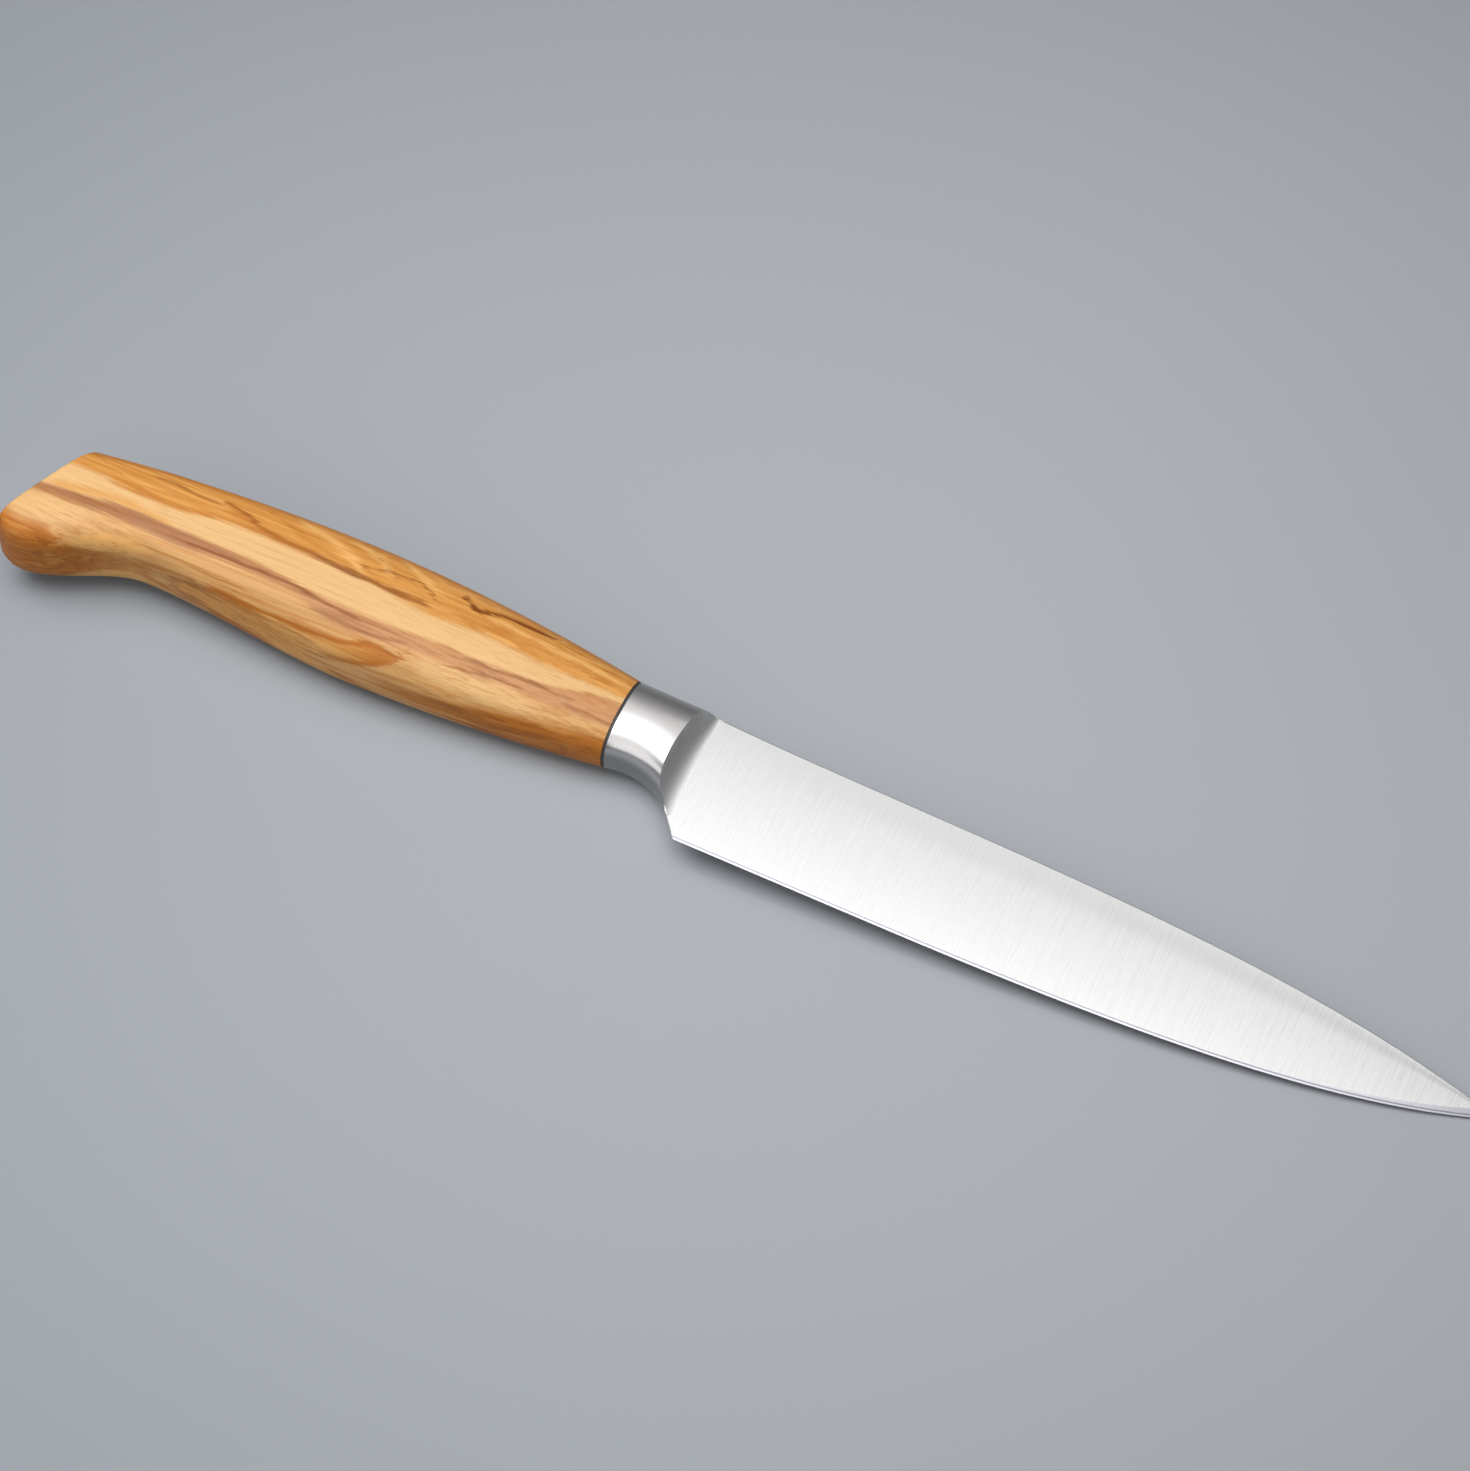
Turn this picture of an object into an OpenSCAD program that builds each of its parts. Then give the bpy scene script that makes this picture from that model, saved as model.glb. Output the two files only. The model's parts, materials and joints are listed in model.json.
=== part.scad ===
// Vegetable knife with a forged half bolster and a hidden tang in a one-piece wooden handle.
// Every piece is drawn in the knife's own frame: the joint between bolster and handle is the plane x = 0,
// +X runs to the tip, +Y to the spine and Z across the thickness. The finished knife is laid on its side.

/* [Blade] */
// Length of the blade, heel to tip
blade_length = 150; // [120:1:180]
// Height of the blade at its root, spine down to the straight edge
blade_height = 25.6; // [22:0.1:30]
// Thickness of the spine at the heel
spine_thick = 2.4; // [1.8:0.1:3.2]
// Thickness just behind the cutting bevel at the heel
edge_thick = 0.56; // [0.4:0.02:0.8]
// Angle by which each flank thins towards the tip
distal_taper = 0.1; // [0.05:0.01:0.12]
// Angle of the cutting bevel to the middle plane, each side
bevel_angle = 17; // [12:1:22]
// Width left along the apex of the cutting edge
apex_width = 0.06; // [0.04:0.01:0.1]
// Height of the tip above the straight edge
tip_rise = 12.4; // [8:0.2:15]
// Length of the straight stretch of the edge, from the heel
straight_edge = 40; // [20:1:55]
// How far the straight edge leads the belly curve on
belly_lead = 58; // [40:1:62]
// How far the tip's direction leads the belly curve back
edge_tip_lead = 23; // [12:1:30]
// Angle at which the edge rises into the tip
edge_tip_angle = 22; // [16:1:26]
// Angle at which the spine leaves the bolster
spine_fall = 3.4; // [1:0.2:5]
// How far that angle leads the spine curve on
spine_lead = 40; // [20:1:55]
// Angle at which the spine drops into the tip
spine_tip_angle = 19; // [14:1:24]
// How far the tip's direction leads the spine curve back
spine_tip_lead = 44; // [30:1:55]

/* [Bolster] */
// Distance from the joint to the heel
bolster_length = 18.1; // [17:0.1:22]
// Height of the spine above the handle axis where the blade begins
spine_height = 8.35; // [7.6:0.05:9]
// Distance from the joint to the foot of the plunge, at the handle axis, and to where the spine begins
plunge_at = 16; // [14:0.1:16.5]
// Radius of the plunge from the bolster's cheek down to the blade
plunge_r = 4.8; // [3:0.1:5.5]
// Lean of the plunge line to the blade's height
plunge_lean = 2; // [0:0.5:4]
// Radius of the finger notch below the bolster
notch_r = 14.5; // [13:0.1:17]
// Highest point of the notch below the handle axis
notch_depth = 7.7; // [7:0.1:8.2]
// Angle of the heel's back edge to the blade's length
heel_angle = 51; // [46:1:58]

/* [Joint] */
// Height of the joint's upper edge above the handle axis
joint_top = 8.6; // [8.2:0.1:10]
// Thickness of bolster and handle at the joint
joint_thick = 13.4; // [12:0.2:16]
// Squareness of the oval section at the joint, 2 is a plain ellipse
joint_square = 2.4; // [2.1:0.1:2.8]
// Thickness of the black spacer
spacer_thick = 0.6; // [0.4:0.1:1.5]

/* [Handle] */
// Height of the back above the handle axis at its crest
crest_height = 12.5; // [11.5:0.1:15]
// Distance of the crest behind the joint
crest_at = 50; // [40:1:60]
// Height of the back where the slanted end meets it
corner_height = 7.8; // [6:0.1:10]
// Depth of the belly below the handle axis
belly_depth = 11.7; // [10.5:0.1:14]
// Distance of the belly behind the joint
belly_at = 50; // [42:1:60]
// Depth of the waist below the handle axis
waist_depth = 8.7; // [7.5:0.1:10]
// Distance of the waist behind the joint
waist_at = 94; // [84:1:97]
// Depth of the beak below the handle axis
beak_depth = 16.2; // [14:0.1:17]
// Distance of the beak behind the joint
beak_at = 116; // [108:1:118]
// Radius of the chin that rounds the beak up to the end
chin_r = 6; // [5:0.5:12]
// Thickness of the grip at its fullest
grip_thick = 17.8; // [15:0.2:21]
// Thickness of the grip at the waist
waist_thick = 16; // [14:0.2:20]
// Thickness of the grip at the beak
butt_thick = 16.2; // [14:0.2:20]
// Squareness of the oval section at the butt
butt_square = 4.1; // [2.4:0.1:4.6]
// Distance of the slanted end behind the joint, at the handle axis
butt_at = 115; // [110:0.1:118]
// Slant of the end face to the knife's height
butt_slant = 22.4; // [15:0.2:28]
// Radius of the eased rim round the end face
rim_r = 0.8; // [0.4:0.1:1.5]

/* [Tang] */
// Length of the tang behind the spacer
tang_length = 82; // [60:1:95]
// Width of the tang at the spacer
tang_width = 10; // [8:0.2:11]
// Width of the tang at its end
tang_end_width = 7; // [5:0.2:8]
// Thickness of the tang
tang_thick = 3; // [2.5:0.1:3.6]
// Radius of the half-round notches that key the tang into the resin
key_r = 1.2; // [0.8:0.1:1.6]
// Number of notch pairs along the tang
key_pairs = 3; // [2:1:5]
// Gap round the tang in the handle, filled with resin
resin_gap = 0.6; // [0.3:0.1:1]
// Depth of resin behind the tang's end
resin_end = 2; // [1:0.5:4]
// Clearance of the tang in the spacer
spacer_clear = 0.1; // [0.05:0.05:0.3]

/* [Hidden] */
$fn = 64;

// Points round an oval, rings along the grip and its rim, and steps along a curve or a slot's end
oval_points = 48;
grip_rings = 36;
rim_steps = 3;
curve_steps = 26;
slot_steps = 12;
// Overlap that fuses two bodies
lap = 0.1;
// How sharply the grip swells behind the joint
swell = 2;
// Depth by which the plunge runs under the blade's flank, so that it ends in a clean line
plunge_sink = 0.03;
// Bite of the heel's back edge into the finger notch
notch_bite = 0.1;
// Overrun of each bevel flat past its stretch of edge
bevel_over = 1;

// The blade's corner points
heel_x = bolster_length;
edge_y = spine_height - blade_height;
tip_x = heel_x + blade_length;
tip_y = edge_y + tip_rise;
belly_start = heel_x + straight_edge;
flank_angle = atan((spine_thick - edge_thick) / 2 / blade_height);
tang_root = (plunge_at - plunge_r) / 2;
// Reach of a cutting block beyond the knife
reach = blade_height + joint_top;

// The finger notch's axis, which the heel's back edge just bites, and the joint's lower edge that follows
notch_y = -notch_depth - notch_r;
notch_x = heel_x - (notch_r - notch_bite + (notch_y - edge_y) * cos(heel_angle)) / sin(heel_angle);
joint_bottom = notch_y + sqrt(notch_r * notch_r - notch_x * notch_x);
joint_mid = (joint_top + joint_bottom) / 2;
joint_half = (joint_top - joint_bottom) / 2;

function ease(t) = let (u = min(1, max(0, t))) u * u * (3 - 2 * u);
function rise(t) = 1 - pow(1 - min(1, t), swell);
function signed_power(v, e) = sign(v) * pow(abs(v), e);
function bezier(p, t) =
    pow(1 - t, 3) * p[0] + 3 * t * pow(1 - t, 2) * p[1] + 3 * t * t * (1 - t) * p[2] + pow(t, 3) * p[3];
function along(angle) = [cos(angle), sin(angle)];

// Outline of the grip, as heights and half thickness at a distance behind the joint
function back_height(d) = d < crest_at
    ? joint_top + (crest_height - joint_top) * rise(d / crest_at)
    : crest_height - (crest_height - corner_height) * pow((d - crest_at) / (corner_at - crest_at), 2);
function chin_lift(d) = pow(max(0, d - beak_at), 2) / (2 * chin_r);
function belly_height(d) = d < belly_at
    ? joint_bottom - (belly_depth + joint_bottom) * rise(d / belly_at)
    : d < waist_at
    ? -belly_depth + (belly_depth - waist_depth) * ease((d - belly_at) / (waist_at - belly_at))
    : -waist_depth - (beak_depth - waist_depth) * ease((d - waist_at) / (beak_at - waist_at)) + chin_lift(d);
function half_thick(d) = d < belly_at
    ? (joint_thick + (grip_thick - joint_thick) * rise(d / belly_at)) / 2
    : d < waist_at
    ? (grip_thick + (waist_thick - grip_thick) * ease((d - belly_at) / (waist_at - belly_at))) / 2
    : (waist_thick + (butt_thick - waist_thick) * ease((d - waist_at) / (beak_at - waist_at))) / 2;
function squareness(d) = joint_square + (butt_square - joint_square) * ease(d / beak_at);
corner_at = butt_at - tan(butt_slant) * corner_height;

// One point of the grip's skin, at a distance behind the joint and an angle round the section
function skin(d, a) =
    let (top = back_height(d), bottom = belly_height(d), e = 2 / squareness(d))
    let (across = signed_power(cos(a), e), out = signed_power(sin(a), e))
    [-d, (top + bottom) / 2 + (top - bottom) / 2 * across, half_thick(d) * out];
// Distance at which a line along the skin meets a plane with the end face's slant
function end_distance(plane_at, a, d, rounds = 20) = rounds == 0
    ? d
    : end_distance(plane_at, a, plane_at - tan(butt_slant) * skin(d, a)[1], rounds - 1);
function grip_point(share, a) =
    skin(spacer_thick + share * (end_distance(butt_at - rim_r, a, beak_at) - spacer_thick), a);
// A point of the eased rim, from 0 degrees on the skin to 90 on the end face
function rim_point(turn, a) =
    let (plane_at = butt_at - rim_r * (1 - sin(turn)), d = end_distance(plane_at, a, beak_at), p = skin(d, a))
    let (mid = (back_height(d) + belly_height(d)) / 2, inset = rim_r * (1 - cos(turn)))
    let (y = mid + (p[1] - mid) * (1 - inset / (back_height(d) - mid)))
    [tan(butt_slant) * y - plane_at, y, p[2] * (1 - inset / half_thick(d))];

oval_angles = [for (i = [0 : oval_points - 1]) 360 * i / oval_points];
grip_skin = [for (i = [0 : grip_rings]) [for (a = oval_angles) grip_point(i / grip_rings, a)]];
grip_rim = [for (i = [1 : rim_steps]) [for (a = oval_angles) rim_point(90 * i / rim_steps, a)]];
grip = concat(grip_skin, grip_rim);

// Half thickness of the blade at a point of its outline
function flank_half(x, y) =
    edge_thick / 2 + (y - edge_y) * tan(flank_angle) - (x - heel_x) * tan(distal_taper);

// The knife lies on the cheek of its grip and on its tip
tip_half = flank_half(tip_x, tip_y);
lie = max([for (ring = grip) for (p = ring) atan((-p[2] - tip_half) / (tip_x - p[0]))]);
lift = max([for (ring = grip) for (p = ring) p[0] * sin(lie) - p[2] * cos(lie)]);
butt_x = min([for (ring = grip) for (p = ring) p[0] * cos(lie) + p[2] * sin(lie)]);
mid_x = (tip_x * cos(lie) + butt_x) / 2;
top_y = max([for (ring = grip) for (p = ring) p[1]]);
mid_y = (top_y + min(edge_y, -beak_depth)) / 2;

spine_curve = [
    [plunge_at, spine_height],
    [plunge_at, spine_height] + spine_lead * along(-spine_fall),
    [tip_x, tip_y] - spine_tip_lead * along(-spine_tip_angle),
    [tip_x, tip_y]
];
belly_curve = [
    [belly_start, edge_y],
    [belly_start + belly_lead, edge_y],
    [tip_x, tip_y] - edge_tip_lead * along(edge_tip_angle),
    [tip_x, tip_y]
];
spine_points = [for (i = [0 : curve_steps - 1]) bezier(spine_curve, i / curve_steps)];
edge_points = concat([[heel_x, edge_y]], [for (i = [0 : curve_steps]) bezier(belly_curve, i / curve_steps)]);
notch_foot = [notch_x, notch_y] + (notch_r - notch_bite) * [sin(heel_angle), cos(heel_angle)];

// Side view of blade and bolster, run on below the bolster to where the notch is ground away
blade_outline = concat(
    [[0, reach], [plunge_at, reach]],
    spine_points,
    [for (i = [len(edge_points) - 1 : -1 : 0]) edge_points[i]],
    [notch_foot, [notch_x, notch_y], [0, notch_y]]
);

// Oval section of the joint, as points across (Y, Z)
joint_oval = [for (a = oval_angles) let (e = 2 / joint_square)
    [joint_mid + joint_half * signed_power(cos(a), e), joint_thick / 2 * signed_power(sin(a), e)]];

// Upper half of that oval with straight cheeks below
cheek_section = concat(
    [[edge_y, -joint_thick / 2]],
    [for (i = [-oval_points / 4 : oval_points / 4]) joint_oval[(i + oval_points) % oval_points]],
    [[edge_y, joint_thick / 2]]
);

// Lower half of the oval as radii about the notch's axis, run on past the cheeks at both ends
notch_half = [for (i = [0 : oval_points / 4 - 1]) let (p = joint_oval[oval_points / 2 - i])
    [norm([notch_x, p[0] - notch_y]), p[1]]];
notch_last = notch_half[len(notch_half) - 1];
notch_step = notch_last - notch_half[len(notch_half) - 2];
notch_end = notch_last + notch_step * (joint_thick / 2 + lap - notch_last[1]) / notch_step[1];
notch_section = concat(
    [[0, -notch_end[1]], [notch_end[0], -notch_end[1]]],
    [for (i = [len(notch_half) - 1 : -1 : 1]) [notch_half[i][0], -notch_half[i][1]]],
    notch_half,
    [notch_end, [0, notch_end[1]]]
);

// Slot section with round ends, as points across (Y, Z)
function slot_section(width, thick) =
    [for (side = [0, 180]) for (i = [0 : slot_steps]) let (a = side - 90 + 180 * i / slot_steps)
        [cos(a) * thick / 2 + (width - thick) / 2 * cos(side), sin(a) * thick / 2]];

module along_x(length) {
    rotate([90, 0, 90]) linear_extrude(length) children();
}

module laid_down() {
    translate([-mid_x, -mid_y, lift]) rotate([0, lie, 0]) children();
}

module both_sides() {
    children();
    mirror([0, 0, 1]) children();
}

// Puts a shape's XY plane on the blade's upper flank
module on_flank() {
    translate([heel_x, edge_y, edge_thick / 2]) rotate([flank_angle, distal_taper, 0]) children();
}

// Grinding wheel's sweep that leaves the concave plunge and the flank in front of it
module plunge_cut() {
    on_flank() translate([plunge_at - heel_x, -edge_y, -plunge_sink]) rotate([90, 0, plunge_lean])
        linear_extrude(2 * reach + blade_height, center = true) difference() {
            translate([-plunge_r, 0]) square([bolster_length, reach]);
            difference() {
                translate([-plunge_r - lap, -lap]) square([plunge_r + lap, plunge_r + lap]);
                translate([0, plunge_r]) circle(plunge_r);
            }
        }
}

// Oval bolster that falls from the joint to the spine, with a plunge ground into each cheek
module bolster_block() {
    fall = atan((joint_top - spine_height) / plunge_at);
    difference() {
        translate([0, joint_top, 0]) rotate([0, 0, -fall]) translate([-lap, -joint_top, 0])
            along_x(plunge_at + 2 * lap) polygon(cheek_section);
        both_sides() plunge_cut();
    }
}

// Wedge between the two flanks, started inside the bolster
module flank_wedge() {
    root_x = plunge_at - plunge_r;
    difference() {
        union() {
            translate([plunge_at + lap, edge_y - lap, -spine_thick])
                cube([blade_length + bolster_length, blade_height + joint_top, 2 * spine_thick]);
            translate([root_x, edge_y - lap, -spine_thick])
                cube([bolster_length, blade_height - plunge_r, 2 * spine_thick]);
        }
        both_sides() on_flank() translate([-reach, -reach, 0])
            cube([blade_length + 2 * reach, blade_height + 2 * reach, reach]);
    }
}

// One flat of the cutting bevel along each stretch of the edge
module bevel_cut() {
    bevel_reach = spine_thick / tan(bevel_angle);
    for (i = [0 : len(edge_points) - 2]) {
        run = edge_points[i + 1] - edge_points[i];
        translate([edge_points[i][0], edge_points[i][1], apex_width / 2])
            rotate([0, 0, atan2(run[1], run[0])]) rotate([bevel_angle, 0, 0])
                translate([-bevel_over, -bevel_over, 0])
                    cube([norm(run) + 2 * bevel_over, bevel_reach + bevel_over, spine_thick]);
    }
}

// Flat stick tang with pairs of half-round keys, run into the bolster
module tang() {
    end_x = -spacer_thick - tang_length;
    key_step = tang_length / (key_pairs + 1);
    taper = (tang_width - tang_end_width) / 2 / tang_length;
    difference() {
        linear_extrude(tang_thick, center = true) polygon([
            [tang_root, tang_width / 2],
            [-spacer_thick, tang_width / 2],
            [end_x + tang_thick, tang_end_width / 2],
            [end_x, tang_end_width / 2 - tang_thick / 2],
            [end_x, tang_thick / 2 - tang_end_width / 2],
            [end_x + tang_thick, -tang_end_width / 2],
            [-spacer_thick, -tang_width / 2],
            [tang_root, -tang_width / 2]
        ]);
        for (i = [1 : key_pairs]) for (side = [-1, 1])
            translate([-spacer_thick - i * key_step, side * (tang_width / 2 - i * key_step * taper), 0])
                cylinder(h = 2 * tang_thick, r = key_r, center = true);
    }
}

// Blind slot in the handle, from its front face to behind the tang's end
module tang_slot(mouth = 0) {
    depth = tang_length + resin_end;
    translate([-spacer_thick - depth, 0, 0])
        along_x(depth + mouth) polygon(slot_section(tang_width + 2 * resin_gap, tang_thick + 2 * resin_gap));
}

module forged_blade() {
    color("gainsboro") laid_down() union() {
        difference() {
            intersection() {
                linear_extrude(joint_thick + lap, center = true) polygon(blade_outline);
                union() {
                    bolster_block();
                    flank_wedge();
                }
            }
            translate([notch_x, notch_y, 0]) rotate_extrude() polygon(notch_section);
            both_sides() bevel_cut();
        }
        tang();
    }
}

module spacer() {
    slot_height = tang_width + 2 * spacer_clear;
    slot_width = tang_thick + 2 * spacer_clear;
    color("black") laid_down() translate([-spacer_thick, 0, 0]) difference() {
        along_x(spacer_thick) polygon(joint_oval);
        translate([-lap, -slot_height / 2, -slot_width / 2])
            cube([spacer_thick + 2 * lap, slot_height, slot_width]);
    }
}

module handle() {
    last = len(grip) - 1;
    sides = [for (i = [0 : last - 1]) for (j = [0 : oval_points - 1])
        let (k = (j + 1) % oval_points, a = i * oval_points, b = a + oval_points)
        each [[a + j, b + j, b + k], [a + j, b + k, a + k]]];
    front = [for (j = [0 : oval_points - 1]) j];
    butt = [for (j = [oval_points - 1 : -1 : 0]) last * oval_points + j];
    color("burlywood") laid_down() difference() {
        polyhedron([for (ring = grip) each ring], concat(sides, [front, butt]));
        tang_slot(mouth = lap);
    }
}

module adhesive_bed() {
    color("khaki") laid_down() difference() {
        tang_slot();
        tang();
    }
}

forged_blade();
spacer();
handle();
adhesive_bed();
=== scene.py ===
"""Forged vegetable knife with an olive-wood handle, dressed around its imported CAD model."""
import json
import math

import bmesh
import bpy
import numpy as np
from bpy.props import FloatProperty, FloatVectorProperty, IntProperty, PointerProperty
from mathutils import Matrix, Vector


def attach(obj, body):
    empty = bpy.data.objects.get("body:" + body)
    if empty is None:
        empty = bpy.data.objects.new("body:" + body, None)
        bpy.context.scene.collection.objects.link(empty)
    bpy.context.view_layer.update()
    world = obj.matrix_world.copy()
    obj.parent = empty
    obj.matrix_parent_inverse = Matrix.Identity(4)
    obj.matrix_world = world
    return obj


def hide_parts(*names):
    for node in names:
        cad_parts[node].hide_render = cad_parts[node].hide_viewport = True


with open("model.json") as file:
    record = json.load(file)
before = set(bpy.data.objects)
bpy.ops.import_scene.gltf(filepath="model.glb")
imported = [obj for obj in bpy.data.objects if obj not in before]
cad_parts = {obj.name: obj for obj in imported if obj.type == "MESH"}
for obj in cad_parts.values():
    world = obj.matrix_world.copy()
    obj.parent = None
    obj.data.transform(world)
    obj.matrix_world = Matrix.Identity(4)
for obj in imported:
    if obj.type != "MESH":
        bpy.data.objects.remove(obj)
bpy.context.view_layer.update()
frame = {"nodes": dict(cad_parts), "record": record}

bl_info = {
    "name": "Vegetable Knife",
    "version": (1, 0, 0),
    "blender": (4, 5, 0),
    "location": "View3D > Sidebar > Knife",
    "description": "Builds a forged vegetable knife with an olive-wood handle on a plain floor",
    "category": "Add Mesh",
}

MM = 0.001
BODY = "root"
IMAGE_WIDTH = 1470
WELD_DISTANCE = 1e-7
TINY = 1e-9


def length(name, millimetres, description):
    """A size that the user sets, given here in millimetres."""
    size = millimetres * MM
    return FloatProperty(name=name, description=description, default=size, unit="LENGTH", precision=5)


def angle(name, degrees, description):
    """An angle that the user sets, given here in degrees."""
    turn = math.radians(degrees)
    return FloatProperty(name=name, description=description, default=turn, subtype="ANGLE", unit="ROTATION")


def number(name, value, description):
    """A plain number that the user sets."""
    return FloatProperty(name=name, description=description, default=value, precision=3)


def factor(name, value, description):
    """A share from 0 to 1 that the user sets."""
    return FloatProperty(name=name, description=description, default=value, min=0, max=1, subtype="FACTOR")


def whole(name, value, description, least=1):
    """A whole number that the user sets."""
    return IntProperty(name=name, description=description, default=value, min=least)


def colour(name, red, green, blue, description):
    """A linear colour that the user sets."""
    return FloatVectorProperty(
        name=name, description=description, default=(red, green, blue), min=0, max=1, size=3,
        subtype="COLOR")


def sides(name, left, right, front, back, description):
    """How far something reaches to -X, +X, -Y and +Y, given here in millimetres."""
    reach = [side * MM for side in (left, right, front, back)]
    return FloatVectorProperty(name=name, description=description, default=reach, size=4, unit="LENGTH")


class BladeSizes(bpy.types.PropertyGroup):
    """Sizes of the blade, from the heel to the tip."""
    length: length("Length", 150, "Length of the blade, heel to tip")
    height: length("Height", 25.6, "Height of the blade at its root, spine down to the straight edge")
    spine_thick: length("Spine", 2.4, "Thickness of the spine at the heel")
    edge_thick: length("Behind the edge", 0.56, "Thickness just behind the cutting bevel at the heel")
    distal_taper: angle("Distal taper", 0.1, "Angle by which each flank thins towards the tip")
    bevel_angle: angle("Bevel", 17, "Angle of the cutting bevel to the middle plane, each side")
    apex_width: length("Apex", 0.06, "Width left along the apex of the cutting edge")
    tip_rise: length("Tip rise", 12.4, "Height of the tip above the straight edge")
    straight_edge: length("Straight edge", 40, "Length of the straight stretch of the edge, from the heel")
    belly_lead: length("Belly lead", 58, "How far the straight edge leads the belly curve on")
    edge_tip_lead: length("Edge tip lead", 23, "How far the tip's direction leads the belly curve back")
    edge_tip_angle: angle("Edge tip angle", 22, "Angle at which the edge rises into the tip")
    spine_fall: angle("Spine fall", 3.4, "Angle at which the spine leaves the bolster")
    spine_lead: length("Spine lead", 40, "How far that angle leads the spine curve on")
    spine_tip_angle: angle("Spine tip angle", 19, "Angle at which the spine drops into the tip")
    spine_tip_lead: length("Spine tip lead", 44, "How far the tip's direction leads the spine curve back")
    spine_ease: length("Spine ease", 0.16, "Width of the eased corners along the spine")
    crown: number("Crown", 0.0044, "Slope by which each flank is crowned between the bevel and the spine")
    roll: number("Roll", 0.0026, "Slope by which each flank rolls over below the spine, growing to the tip")


class BolsterSizes(bpy.types.PropertyGroup):
    """Sizes of the half bolster and its finger notch."""
    length: length("Length", 18.1, "Distance from the joint to the heel")
    spine_height: length("Spine height", 8.35, "Height of the spine above the handle axis where it begins")
    plunge_at: length("Plunge", 16, "Distance from the joint to the plunge's foot, where the spine begins")
    plunge_r: length("Plunge radius", 4.8, "Radius of the plunge from the bolster's cheek down to the blade")
    plunge_lean: angle("Plunge lean", 2, "Lean of the plunge line to the blade's height")
    plunge_bite: length("Plunge bite", 0.3, "How far past its radius the plunge reaches at its deepest")
    plunge_low: length("Plunge low point", -7, "Height at which the plunge is deepest")
    plunge_arch: number("Plunge arch", 9, "Curve of the plunge's edge, per metre")
    plunge_sink: length("Plunge sink", 0.03, "Depth by which the plunge runs under the blade's flank")
    notch_r: length("Notch radius", 14.5, "Radius of the finger notch below the bolster")
    notch_depth: length("Notch depth", 7.7, "Highest point of the notch below the handle axis")
    notch_bite: length("Notch bite", 0.1, "Bite of the heel's back edge into the finger notch")
    heel_angle: angle("Heel angle", 51, "Angle of the heel's back edge to the blade's length")


class JointSizes(bpy.types.PropertyGroup):
    """Sizes of the joint between bolster and handle, and of the tang that crosses it."""
    top: length("Top", 8.6, "Height of the joint's upper edge above the handle axis")
    thick: length("Thickness", 13.4, "Thickness of bolster and handle at the joint")
    square: number("Squareness", 2.4, "Squareness of the oval section at the joint, 2 is a plain ellipse")
    spacer_thick: length("Spacer", 0.6, "Thickness of the black spacer")
    spacer_recess: length("Spacer recess", 0.04, "Depth by which the spacer's rim lies below steel and wood")
    spacer_clear: length("Spacer clearance", 0.1, "Clearance of the tang in the spacer")
    tang_length: length("Tang length", 82, "Length of the tang behind the spacer")
    tang_width: length("Tang width", 10, "Width of the tang at the spacer")
    tang_end_width: length("Tang end width", 7, "Width of the tang at its end")
    tang_thick: length("Tang thickness", 3, "Thickness of the tang")
    key_r: length("Key radius", 1.2, "Radius of the half-round notches that key the tang into the resin")
    key_pairs: whole("Key pairs", 3, "Number of notch pairs along the tang")
    resin_gap: length("Resin gap", 0.6, "Gap round the tang in the handle, filled with resin")
    resin_end: length("Resin end", 2, "Depth of resin behind the tang's end")


class HandleSizes(bpy.types.PropertyGroup):
    """Sizes of the wooden handle, as distances behind the joint and heights over the handle axis."""
    crest_height: length("Crest height", 12.5, "Height of the back above the handle axis at its crest")
    crest_at: length("Crest", 50, "Distance of the crest behind the joint")
    corner_height: length("Corner height", 7.8, "Height of the back where the slanted end meets it")
    belly_depth: length("Belly depth", 11.7, "Depth of the belly below the handle axis")
    belly_at: length("Belly", 50, "Distance of the belly behind the joint")
    waist_depth: length("Waist depth", 8.7, "Depth of the waist below the handle axis")
    waist_at: length("Waist", 94, "Distance of the waist behind the joint")
    beak_depth: length("Beak depth", 16.2, "Depth of the beak below the handle axis")
    beak_at: length("Beak", 116, "Distance of the beak behind the joint")
    chin_r: length("Chin radius", 6, "Radius of the chin that rounds the beak up to the end")
    grip_thick: length("Grip thickness", 17.8, "Thickness of the grip at its fullest")
    waist_thick: length("Waist thickness", 16, "Thickness of the grip at the waist")
    butt_thick: length("Butt thickness", 16.2, "Thickness of the grip at the beak")
    butt_square: number("Butt squareness", 4.1, "Squareness of the oval section at the butt")
    butt_at: length("Butt", 115, "Distance of the slanted end behind the joint, at the handle axis")
    butt_slant: angle("Butt slant", 22.4, "Slant of the end face to the knife's height")
    rim_r: length("Rim radius", 0.8, "Radius of the eased rim round the end face")
    swell: number("Swell", 2.0, "How sharply the grip swells behind the joint")


class MeshDetail(bpy.types.PropertyGroup):
    """How finely the pieces are meshed."""
    round_points: whole("Round", 192, "Points round an oval section", 24)
    grip_rings: whole("Grip rings", 150, "Rings along the grip", 8)
    rim_rings: whole("Rim rings", 8, "Rings round the eased rim", 2)
    face_rings: whole("End rings", 14, "Rings across the end face")
    bar_rings: whole("Bolster rings", 64, "Rings along the bolster", 8)
    blade_rings: whole("Blade stations", 180, "Stations along the blade", 20)
    flank_rows: whole("Flank rows", 28, "Rows across each flank")
    heel_rings: whole("Heel stations", 10, "Stations behind the heel")
    wheel_rings: whole("Wheel sections", 161, "Sections of the grinding wheel's sweep", 2)
    arc_steps: whole("Arc steps", 48, "Points along the plunge's arc", 8)
    key_steps: whole("Key steps", 17, "Points along each notch of the tang", 3)
    smooth_angle: angle("Smooth below", 12, "Angle up to which neighbouring faces shade as one")


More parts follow.
